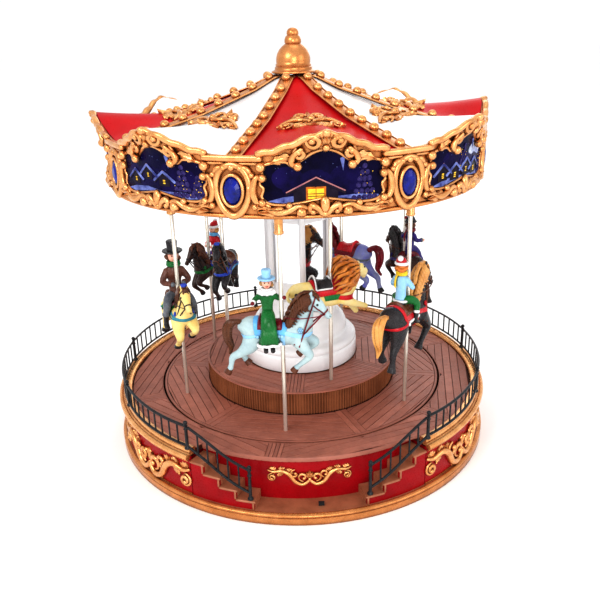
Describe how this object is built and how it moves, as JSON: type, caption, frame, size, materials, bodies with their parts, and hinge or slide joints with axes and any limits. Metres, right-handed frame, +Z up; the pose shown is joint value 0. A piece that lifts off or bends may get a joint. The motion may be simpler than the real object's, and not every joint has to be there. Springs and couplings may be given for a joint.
{
  "type": "carousel music box",
  "caption": "Tabletop carousel music box: a round fenced stage with boarding stairs and a turning canopy whose figures ride up and down on poles.",
  "frame": {"origin": "centre of the flat underside, on the carousel's axis", "axes": "+Z up along the carousel's axis, -Y towards the boarding stairs, +X to the right seen from the front"},
  "size_m": [0.301, 0.301, 0.311],
  "materials": {
    "antique_gold": "antique gold paint with dark wash",
    "gloss_red": "gloss enamel",
    "gloss_white": "gloss enamel",
    "deck_wood": "plank-grooved, satin",
    "ribbed_brown": "ribbed side, satin",
    "stair_bronze": "bronze paint",
    "fence_black": "satin black",
    "mirror": "polished",
    "champagne_metal": "polished tube",
    "steel": "brushed",
    "cam_plastic": "moulded",
    "gear_plastic": "moulded",
    "black_plastic": "moulded",
    "circuit_green": "solder mask",
    "horse_pale_blue": "hand-painted resin, gloss",
    "horse_black": "hand-painted resin, gloss",
    "horse_dark": "hand-painted resin, gloss",
    "horse_grey": "hand-painted resin, gloss",
    "horse_brown": "hand-painted resin, gloss",
    "horse_yellow": "hand-painted resin, gloss",
    "horse_violet": "hand-painted resin, gloss",
    "lion_yellow": "hand-painted resin, gloss",
    "dress_green": "hand-painted resin, gloss",
    "jumper_blue": "hand-painted resin, gloss",
    "dress_navy": "hand-painted resin, gloss",
    "coat_tan": "hand-painted resin, gloss",
    "coat_red": "hand-painted resin, gloss",
    "coat_brown": "hand-painted resin, gloss"
  },
  "bodies": {
    "base": {"plinth_ring": "antique_gold", "bottom_plate": "black_plastic", "battery_cover": "black_plastic", "battery_tray": "black_plastic", "bottom_screw_1": "steel", "bottom_screw_2": "steel", "bottom_screw_3": "steel", "drum_wall": "gloss_red", "stairs_left": "stair_bronze", "stairs_right": "stair_bronze", "wall_scroll": "antique_gold", "rim_moulding": "antique_gold", "fixed_deck": "deck_wood", "fence": "fence_black", "stair_rail_left": "fence_black", "stair_rail_right": "fence_black", "outer_cam": "cam_plastic", "inner_cam": "cam_plastic", "centre_bearing": "black_plastic", "gear_motor": "steel", "speaker": "black_plastic", "circuit_board": "circuit_green"},
    "switch": {"power_switch": "black_plastic"},
    "carousel": {"turntable": "deck_wood", "raised_platform": "ribbed_brown", "main_gear": "gear_plastic", "centre_shaft": "steel", "column_base": "gloss_white", "column_frame": "gloss_white", "mirror_sleeve": "mirror", "canopy_ceiling": "gloss_white", "roof_shell": "gloss_red", "roof_ribs": "antique_gold", "cornice": "antique_gold", "finial": "antique_gold"},
    "pinion": {"drive_pinion": "gear_plastic"},
    "outer_ride_1": {"outer_pole_1": "champagne_metal", "outer_horse_1": "horse_pale_blue", "rider_1": "dress_green"},
    "outer_ride_2": {"outer_pole_2": "champagne_metal", "outer_horse_2": "horse_black", "rider_2": "jumper_blue"},
    "outer_ride_3": {"outer_pole_3": "champagne_metal", "outer_horse_3": "horse_dark", "rider_3": "dress_navy"},
    "outer_ride_4": {"outer_pole_4": "champagne_metal", "outer_horse_4": "horse_grey", "rider_4": "coat_tan"},
    "outer_ride_5": {"outer_pole_5": "champagne_metal", "outer_horse_5": "horse_brown", "rider_5": "coat_red"},
    "outer_ride_6": {"outer_pole_6": "champagne_metal", "outer_horse_6": "horse_yellow", "rider_6": "coat_brown"},
    "inner_ride_1": {"inner_pole_1": "champagne_metal", "lion": "lion_yellow"},
    "inner_ride_2": {"inner_pole_2": "champagne_metal", "inner_horse_2": "horse_violet"},
    "inner_ride_3": {"inner_pole_3": "champagne_metal", "inner_horse_3": "horse_black"}
  },
  "joints": [
    {"name": "carousel_spin", "type": "hinge", "parent": "base", "child": "carousel", "pos_m": [0, 0, 0.04], "axis": [0, 0, 1], "continuous": true},
    {"name": "pinion_spin", "type": "hinge", "parent": "base", "child": "pinion", "pos_m": [0.036, 0, 0.03], "axis": [0, 0, 1], "continuous": true},
    {"name": "switch_slide", "type": "slide", "parent": "base", "child": "switch", "axis": [1, 0, 0], "range_m": [0, 0.002]},
    {"name": "outer_lift_1", "type": "slide", "parent": "carousel", "child": "outer_ride_1", "axis": [0, 0, 1], "range_m": [-0.008, 0.008]},
    {"name": "outer_lift_2", "type": "slide", "parent": "carousel", "child": "outer_ride_2", "axis": [0, 0, 1], "range_m": [-0.008, 0.008]},
    {"name": "outer_lift_3", "type": "slide", "parent": "carousel", "child": "outer_ride_3", "axis": [0, 0, 1], "range_m": [-0.008, 0.008]},
    {"name": "outer_lift_4", "type": "slide", "parent": "carousel", "child": "outer_ride_4", "axis": [0, 0, 1], "range_m": [-0.008, 0.008]},
    {"name": "outer_lift_5", "type": "slide", "parent": "carousel", "child": "outer_ride_5", "axis": [0, 0, 1], "range_m": [-0.008, 0.008]},
    {"name": "outer_lift_6", "type": "slide", "parent": "carousel", "child": "outer_ride_6", "axis": [0, 0, 1], "range_m": [-0.008, 0.008]},
    {"name": "inner_lift_1", "type": "slide", "parent": "carousel", "child": "inner_ride_1", "axis": [0, 0, 1], "range_m": [-0.008, 0.008]},
    {"name": "inner_lift_2", "type": "slide", "parent": "carousel", "child": "inner_ride_2", "axis": [0, 0, 1], "range_m": [-0.008, 0.008]},
    {"name": "inner_lift_3", "type": "slide", "parent": "carousel", "child": "inner_ride_3", "axis": [0, 0, 1], "range_m": [-0.008, 0.008]}
  ],
  "couplings": [
    {"joint": "pinion_spin", "follows": "carousel_spin", "ratio": -3},
    {"joint": "outer_lift_2", "follows": "outer_lift_1", "ratio": -1},
    {"joint": "outer_lift_3", "follows": "outer_lift_1", "ratio": 1},
    {"joint": "outer_lift_4", "follows": "outer_lift_1", "ratio": -1},
    {"joint": "outer_lift_5", "follows": "outer_lift_1", "ratio": 1},
    {"joint": "outer_lift_6", "follows": "outer_lift_1", "ratio": -1},
    {"joint": "inner_lift_2", "follows": "inner_lift_1", "ratio": 1},
    {"joint": "inner_lift_3", "follows": "inner_lift_1", "ratio": 1}
  ]
}
